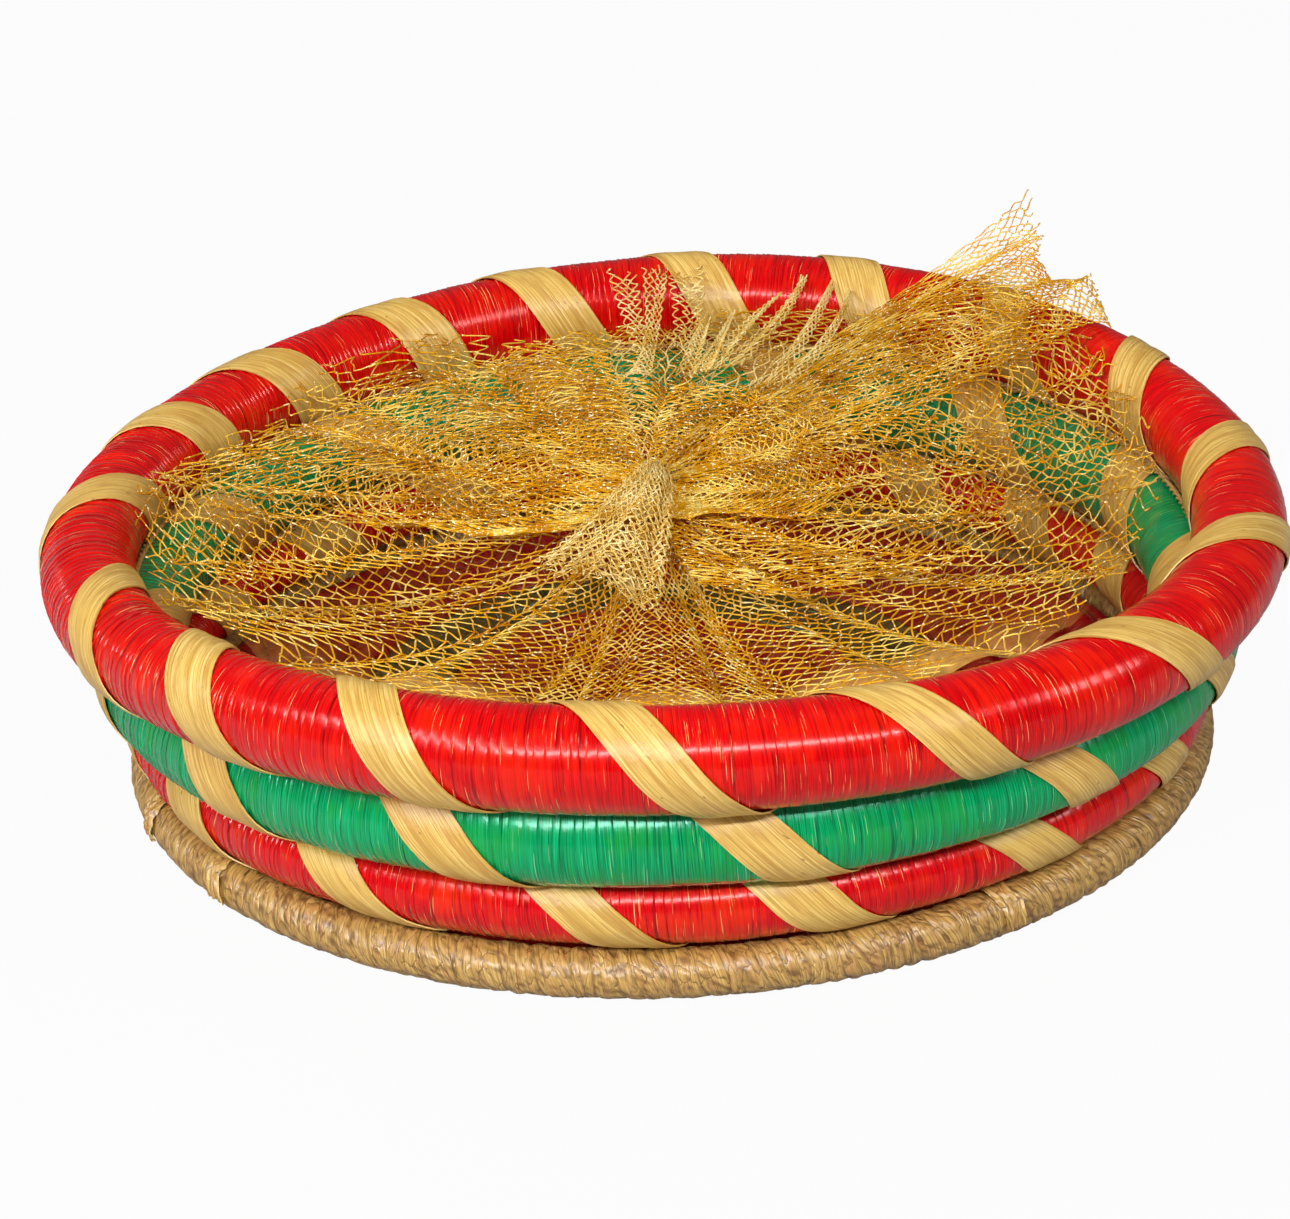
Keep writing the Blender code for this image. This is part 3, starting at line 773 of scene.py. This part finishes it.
farFold = {
    "columns": 40, "rows": 15, "start": 132, "stop": 200, "seed": 167,
    "azimuths": [132, 150, 165, 180, 200],
    "reach": [136, 130, 126, 120, 110],
    "height": [84, 84, 84, 84, 82],
    "sag": 0.002, "lift": 0.001,
    "pleats": [(37, 0.9, 0.4), (71, 0.8, 0.4)],
}
farLace = {
    "columns": 25, "rows": 10, "start": 200, "stop": 250, "inner": 0.68, "seed": 177,
    "azimuths": [200, 210, 220, 232, 242, 250],
    "reach": [140, 152, 154, 150, 146, 150],
    "height": [80, 84, 83, 80, 78, 78],
    "sag": 0.003, "lift": 0.001,
    "pleats": [(19, 0.8, 0.3), (41, 0.8, 0.3)],
}
cornerEdge = {
    "columns": 27, "rows": 18, "start": 98, "stop": 142, "inner": 0.6, "seed": 187,
    "azimuths": [98, 107, 115, 123, 130, 142],
    "reach": [140, 149, 157, 163, 167, 165],
    "height": [77, 78, 79, 88, 92, 91],
    "sag": 0.004, "lift": 0.0,
    "pleats": [(29, 0.8, 0.3), (61, 0.8, 0.3)],
}

# patches of net: lines of places across the patch, in millimetres, one after another along it
tongueFlap = {
    "columns": 24, "rows": 34, "seed": 171, "pleats": [(2, 0.25, 0.0006), (5, 0.2, 0.0006)],
    "stations": [0, 0.12, 0.5, 1],
    "lines": [
        [(-6, 3, 85), (-2, 6, 87), (2, 4, 85)],
        [(-9, -6, 87), (-3, -8, 90), (3, -8, 87)],
        [(-20, -29, 86), (-10, -36, 89), (2, -42, 86)],
        [(-38, -52, 82), (-21, -76, 86), (-2, -94, 82)],
    ],
}
tongueUnder = dict(tongueFlap, columns=20, rows=28, seed=173, lines=[
    [(x + 0.6, y - 1, z - 1.6) for x, y, z in line] for line in tongueFlap["lines"]])
corner = {
    "columns": 58, "rows": 56, "seed": 181, "pleats": [(2, 0.25, 0.0010), (5, 0.2, 0.0006)],
    "stations": [0, 0.36, 0.72, 1],
    "lines": [
        [(-3, 5, 82), (2, 4, 83), (7, 0, 82)],
        [(30, 70, 83), (50, 62, 85), (72, 44, 82)],
        [(84, 134, 91), (104, 119, 92), (125, 86, 90)],
        [(120, 137.5, 119.5), (126, 135, 104), (122, 131, 96), (127, 125, 91),
         (138, 126, 92.5), (140, 84, 89)],
    ],
}

# bundles of yarn that run up the far rim, then two patches of open lace: three places along the middle of
# each, and its width there, in millimetres
bundles = [
    [(-6, 80, 84, 9), (-1, 112, 85, 4.5), (1, 163, 90, 10)],
    [(9, 78, 84, 7), (14, 108, 85, 4), (18.5, 131, 85, 1.5)],
    [(14, 82, 84, 6), (19.5, 101, 85, 3), (25.5, 127, 86, 1)],
    [(17, 84, 84, 8), (29, 116, 85, 4), (41, 141, 86, 1.5)],
    [(22, 84, 84, 8), (38, 119, 85, 5), (49, 151, 88, 2)],
    [(34, 66, 84, 7), (48, 112, 85, 4), (58, 147, 88, 1.5)],
    [(39, 68, 84, 6), (55, 109, 85, 3), (63, 142, 86, 1)],
    [(-4, 98, 84, 5), (-7, 132, 85, 7), (-10, 162, 90, 10)],
    [(8, 102, 84, 5), (11, 136, 85, 10), (10, 160, 90, 12)],
]
bundleLook = {"columns": 7, "rows": 30, "pleats": [(1, 0.3, 0.0006)], "stations": [0, 0.5, 1]}
laceLook = dict(bundleLook, columns=5, rows=21)
laceNumbers = (8, 9)
yarnRoom = 0.0006


def bundleLayer(number, places):
    look = laceLook if number in laceNumbers else bundleLook
    lines = [[(x - wide / 2, y, z), (x + wide / 2, y, z)] for x, y, z, wide in places]
    return dict(look, seed=190 + number, lines=lines)


def rimTop(rho, azimuth):
    # height of the rim coil's upper side over a place, with room for a yarn
    rim = stack["rim"]
    reach = rim["tube"] + yarnRoom
    inside = np.clip(reach ** 2 - (rho - rim["ring"]) ** 2, 0, None)
    top = settle(rho * np.sin(azimuth), -rho * np.cos(azimuth), rim["height"] + np.sqrt(inside))[..., 2]
    return np.where(inside > 0, top, -1)


def clothPoint(layer, u, share):
    # place on the pleated cloth: u runs round it and share from the gather to the edge
    c = math.radians(layer["start"]) + u * math.radians(layer["stop"] - layer["start"])
    if "stretch" in layer:
        c = c + sum(amount * np.sin(folds * c + phase) / folds for folds, amount, phase in layer["stretch"])
    degrees = np.degrees(c) % 360
    reach = np.interp(degrees, layer["azimuths"], layer["reach"], period=360) / 1000
    height = np.interp(degrees, layer["azimuths"], layer["height"], period=360) / 1000
    share = share ** np.interp(degrees, rowSpacing["azimuths"], rowSpacing["powers"], period=360)
    spread = gather["radius"] + share * (reach - gather["radius"])
    turned = np.radians(np.interp(degrees, swirl["azimuths"], swirl["degrees"], period=360))
    azimuth = c + turned * (1 - share)
    lift = 0
    rng = seeded(layer["seed"])
    loose = 1 - pleatLook["tighten"] * share
    for folds, slide, wave in layer["pleats"]:
        phase = rng.uniform(0, tau)
        drift = pleatLook["drift"] * waves(c, 0 * c, layer["seed"] + folds, 5, 1, 6)
        drift = drift + pleatLook["sway"] * np.sin(pleatLook["swayTurns"] * share + phase)
        azimuth = azimuth + slide * loose / folds * np.sin(folds * c + phase + drift)
        lift = lift + wave * loose * spread / folds * np.cos(folds * c + phase + drift)
    depth = np.interp(degrees, deepSag["azimuths"], deepSag["depths"], period=360) / 1000
    sag = layer["sag"] + layer.get("deepSag", 0) * depth
    hang = (layer["lift"] - sag) * np.sin(math.pi * share)
    z = gather["height"] + (height - gather["height"]) * share + hang
    x = gather["x"] * (1 - share) + spread * np.sin(azimuth)
    y = gather["y"] - spread * np.cos(azimuth)
    return x, y, z + lift


def patchPoint(layer, u, share):
    # place on a patch: across its lines by u, and smoothly from line to line by share
    total = 0
    for folds, slide, wave in layer["pleats"]:
        bend = tau * folds * u + layer["seed"] + folds + pleatLook["slant"] * share
        u = u + slide / tau / folds * np.sin(bend) * np.sin(math.pi * u)
        total = total + wave * np.cos(bend)
    place = np.zeros((3,) + np.shape(share))
    stations = layer["stations"]
    for station, line in zip(stations, layer["lines"]):
        weight = 1
        for other in stations:
            if other != station:
                weight = weight * (share - other) / (station - other)
        knots = np.linspace(0, 1, len(line))
        for axis in range(3):
            place[axis] += weight * np.interp(u, knots, [spot[axis] for spot in line]) / 1000
    return place[0], place[1], place[2] + total


def seatOnRim(x, y, z, clearance=0):
    # lifts what would lie in the rim coil onto its upper side
    rho, azimuth = np.hypot(x, y), np.arctan2(x, -y)
    return np.stack([x, y, np.maximum(z, rimTop(rho, azimuth) + clearance)], -1)


def netYarns(name, layer, pointAt, look, first, last):
    # the yarns number first to last of a layer, as one curve turned to a mesh
    columns, rows = layer["columns"], layer["rows"]
    row = np.arange(rows)
    ease = (row / rows) ** look["rowEase"]
    tie = look["tieShare"] * np.diff(np.append(ease, 1))
    inner = layer.get("inner", 0)
    shares = inner + (1 - inner) * np.stack([ease, ease + tie], -1).ravel()
    sides = np.repeat(np.where(row % 2 == 0, 1, -1), 2)
    curve = bpy.data.curves.new(name, "CURVE")
    curve.dimensions = "3D"
    curve.bevel_depth = look["yarnRadius"]
    curve.bevel_resolution = 0
    curve.use_fill_caps = True
    rng = seeded(layer["seed"] + 5)
    for number in range(first, last):
        flip = 1 if number % 2 == 0 else -1
        u = (number + 0.5 + 0.5 * look["lean"] * flip * sides) / columns
        jitter = look["jitter"] * waves(u * 40, shares * 90, layer["seed"] + 7, 14, 5, 60)
        wobble = look["wobble"] * waves(u * 40 + 1, shares * 70, layer["seed"] + 9, 14, 5, 60)
        x, y, z = pointAt(layer, u + jitter / columns, np.clip(shares + wobble, 0, 1))
        points = seatOnRim(x, y, z)
        rounded = np.repeat(points, 2, axis=0)
        rounded[1:-1:2] = 0.75 * points[:-1] + 0.25 * points[1:]
        rounded[2::2] = 0.25 * points[:-1] + 0.75 * points[1:]
        points = rounded[:-1]
        kept = len(points) - rng.integers(0, look["ragged"])
        spline = curve.splines.new("POLY")
        spline.points.add(kept - 1)
        placed = np.column_stack([points, np.ones(len(points))])
        spline.points.foreach_set("co", placed[:kept].ravel())
        run = np.linspace(0, look["thickKnots"], len(points))
        thick = 1 + look["uneven"] * wander(run, layer["seed"] + number)
        spline.points.foreach_set("radius", thick[:kept])
    yarns = bpy.data.objects.new(name, curve)
    bpy.context.scene.collection.objects.link(yarns)
    activate(yarns)
    bpy.ops.object.convert(target="MESH")
    return bpy.context.object


def goldMaterial(name, look):
    # metal yarn: gold with paler and darker stretches and small bright glints
    material, tree, shader = newMaterial(name, look["roughness"], look["metallic"])
    place = tree.nodes.new("ShaderNodeTexCoord").outputs["Object"]
    tone = stretchedNoise(tree, place, (70, 70, 70), 3, 0.65, "3D")
    glint = stretchedNoise(tree, place, (1000, 1000, 1000), 1, 0.5, "3D", shift=3)
    base = ramp(tree, tone, ((0.36, look["dark"]), (0.5, look["main"]), (0.64, look["pale"])))
    base = mixColour(tree, ramp(tree, glint, ((0.60, 0.0), (0.66, 1.0))), base, look["glint"])
    tree.links.new(base, shader.inputs["Base Color"])
    shader.inputs["Specular IOR Level"].default_value = 0.15
    return material


yarnLook = {"yarnRadius": 0.00026, "rowEase": 0.9, "tieShare": 0.35, "lean": 0.94, "jitter": 0.65,
            "wobble": 0.006, "ragged": 9, "uneven": 0.25, "thickKnots": 40}
goldLook = {
    "dark": srgb(192, 120, 2), "main": srgb(227, 165, 14), "pale": srgb(250, 214, 100),
    "glint": srgb(255, 246, 190), "roughness": 0.36, "metallic": 0.35,
}
# a lighter copy of the same gold yarn for the layers on top: painted light, where they stand lit above the
# shaded net
paintedLitGoldLook = dict(goldLook, dark=srgb(206, 158, 60), main=srgb(230, 194, 104), pale=srgb(244, 220, 150),
                metallic=0.15)
goldYarn = goldMaterial("gold_yarn", goldLook)
paintedLitYarn = goldMaterial("gold_yarn_painted_lit", paintedLitGoldLook)
paintedLitLayers = ("tongue", "far_fold", "far_bundle")
netLayers = [("skirt", skirt, clothPoint, 4)]
for name, layer in (
    ("left_fold", leftFold), ("right_fold", rightFold), ("inner_fold", innerFold), ("far_fold", farFold),
    ("far_lace", farLace), ("corner_edge", cornerEdge),
):
    netLayers.append((name, layer, clothPoint, 1))
for name, layer in (("tongue_flap", tongueFlap), ("tongue_under", tongueUnder), ("standing_corner", corner)):
    netLayers.append((name, layer, patchPoint, 1))
for number, places in enumerate(bundles, 1):
    netLayers.append(("far_bundle_%d" % number, bundleLayer(number, places), patchPoint, 1))
netPieces = []
for name, layer, pointAt, parts in netLayers:
    for part in range(parts):
        first = layer["columns"] * part // parts
        last = layer["columns"] * (part + 1) // parts
        yarns = netYarns("net_%s_%d" % (name, part + 1), layer, pointAt, yarnLook, first, last)
        # the top layers take the lighter copy of the yarn, which is painted light
        yarn = paintedLitYarn if name.startswith(paintedLitLayers) else goldYarn
        finishPiece(yarns, "net", yarn, () if netPieces else ("net",), smooth=0)
        netPieces.append(yarns)


# the net's fine ground: a thin sheer film that the yarns lie on, thicker along the near edge

def netFilm(name, layer, look):
    film, across, run = addGrid(name, look["across"], look["along"])
    x, y, z = clothPoint(layer, across + 0.5, run)
    placeVerts(film, seatOnRim(x, y, z, -look["under"]))
    setUv(film, across + 0.5, run)
    return film


def filmMaterial(name, look):
    # almost clear, but denser in patches along the near part of its edge
    material, tree, shader = newMaterial(name, look["roughness"])
    shader.inputs["Base Color"].default_value = look["colour"]
    place = tree.nodes.new("ShaderNodeTexCoord").outputs["Object"]
    split = tree.nodes.new("ShaderNodeSeparateXYZ")
    tree.links.new(tree.nodes.new("ShaderNodeUVMap").outputs["UV"], split.inputs["Vector"])
    lace = stretchedNoise(tree, place, (260, 260, 260), 3, 0.6, "3D")
    back = maths(tree, "ABSOLUTE", maths(tree, "SUBTRACT", split.outputs["X"], 0.5))
    front = maths(tree, "ABSOLUTE", maths(tree, "SUBTRACT", back, 0.5))
    near = ramp(tree, front, ((look["nearWidth"] * 0.7, 1.0), (look["nearWidth"], 0.0)))
    edge = ramp(tree, split.outputs["Y"], ((0.82, 0.0), (0.90, 1.0)))
    thick = maths(tree, "MULTIPLY", maths(tree, "MULTIPLY", near, edge), look["nearAlpha"])
    thick = maths(tree, "MULTIPLY", thick, ramp(tree, lace, ((0.35, 0.55), (0.6, 1.0))))
    thin = ramp(tree, lace, ((0.4, look["alphaLow"]), (0.62, look["alphaHigh"])))
    tree.links.new(maths(tree, "MAXIMUM", thick, thin), shader.inputs["Alpha"])
    return material


filmLook = {"across": 720, "along": 30, "under": 0.0002, "roughness": 0.45, "colour": srgb(206, 152, 72),
            "nearWidth": 0.20, "nearAlpha": 0.85, "alphaLow": 0.0, "alphaHigh": 0.05}
film = netFilm("net_film", skirt, filmLook)
finishPiece(film, "net", filmMaterial("sheer_gold_film", filmLook))


# camera, floor and light

cameraLook = {
    "place": (0, -1.1761, 0.58085), "lens": 123.46, "sensor": 36,
    "right": (0.999, -0.0137, -0.0415), "up": (0.0434, 0.4162, 0.9082), "back": (0.0048, -0.9092, 0.4164),
}
cameraData = bpy.data.cameras.new("camera")
cameraData.sensor_fit = "HORIZONTAL"
cameraData.sensor_width = cameraLook["sensor"]
cameraData.lens = cameraLook["lens"]
camera = bpy.data.objects.new("camera", cameraData)
bpy.context.scene.collection.objects.link(camera)
turned = Matrix((cameraLook["right"], cameraLook["up"], cameraLook["back"])).transposed().to_4x4()
camera.matrix_world = Matrix.Translation(cameraLook["place"]) @ turned.to_quaternion().to_matrix().to_4x4()
bpy.context.scene.camera = camera

studioLook = {"floorSize": 12, "floorTone": 0.38, "floorGlow": 0.955, "skyStrength": 0.12}
deselectAll()
bpy.ops.mesh.primitive_plane_add(size=studioLook["floorSize"])
ground = bpy.context.object
ground.name = "ground"
paper, tree, shader = newMaterial("paper_floor", 0.9)
shader.inputs["Base Color"].default_value = (studioLook["floorTone"],) * 3 + (1,)
glow = tree.nodes.new("ShaderNodeEmission")
path = tree.nodes.new("ShaderNodeLightPath")
mixer = tree.nodes.new("ShaderNodeMixShader")
seen = maths(tree, "MULTIPLY", path.outputs["Is Camera Ray"], studioLook["floorGlow"])
tree.links.new(seen, mixer.inputs["Fac"])
tree.links.new(shader.outputs["BSDF"], mixer.inputs[1])
tree.links.new(glow.outputs["Emission"], mixer.inputs[2])
tree.links.new(mixer.outputs["Shader"], tree.nodes["Material Output"].inputs["Surface"])
ground.data.materials.append(paper)

world = bpy.data.worlds.new("studio")
bpy.context.scene.world = world
world.use_nodes = True
tree = world.node_tree
sky = tree.nodes["Background"]
path = tree.nodes.new("ShaderNodeLightPath")
seen = maths(tree, "MAXIMUM", path.outputs["Is Camera Ray"], studioLook["skyStrength"])
tree.links.new(seen, sky.inputs["Strength"])
sky.inputs["Color"].default_value = (1, 1, 1, 1)

lamps = {
    "key": {"place": (-0.18, -1.34, 0.97), "size": 1.85, "tall": 0.085, "roll": 9, "power": 27.5},
    "left": {"place": (-1.12, -0.68, 0.82), "size": 1.3, "tall": 0.12, "roll": -14, "power": 10.5},
    "right": {"place": (1.4, -0.6, 1.0), "size": 0.4, "power": 7},
    "top": {"place": (0.0, 0.1, 1.9), "size": 0.9, "power": 6.5, "glossy": False},
    "back": {"place": (-0.9, 1.2, 1.1), "size": 0.5, "power": 8.5, "glossy": False},
}
for name, look in lamps.items():
    data = bpy.data.lights.new(name, "AREA")
    data.shape = "RECTANGLE"
    data.size = look["size"]
    data.size_y = look.get("tall", look["size"])
    data.energy = look["power"]
    lamp = bpy.data.objects.new(name, data)
    bpy.context.scene.collection.objects.link(lamp)
    lamp.location = look["place"]
    lamp.visible_glossy = look.get("glossy", True)
    aim = (-lamp.location).to_track_quat("-Z", "Y").to_matrix()
    roll = Matrix.Rotation(math.radians(look.get("roll", 0)), 3, "Z")
    lamp.rotation_euler = (aim @ roll).to_euler()
bpy.context.scene.view_settings.view_transform = "Standard"
print("camera, floor and lamps ready")
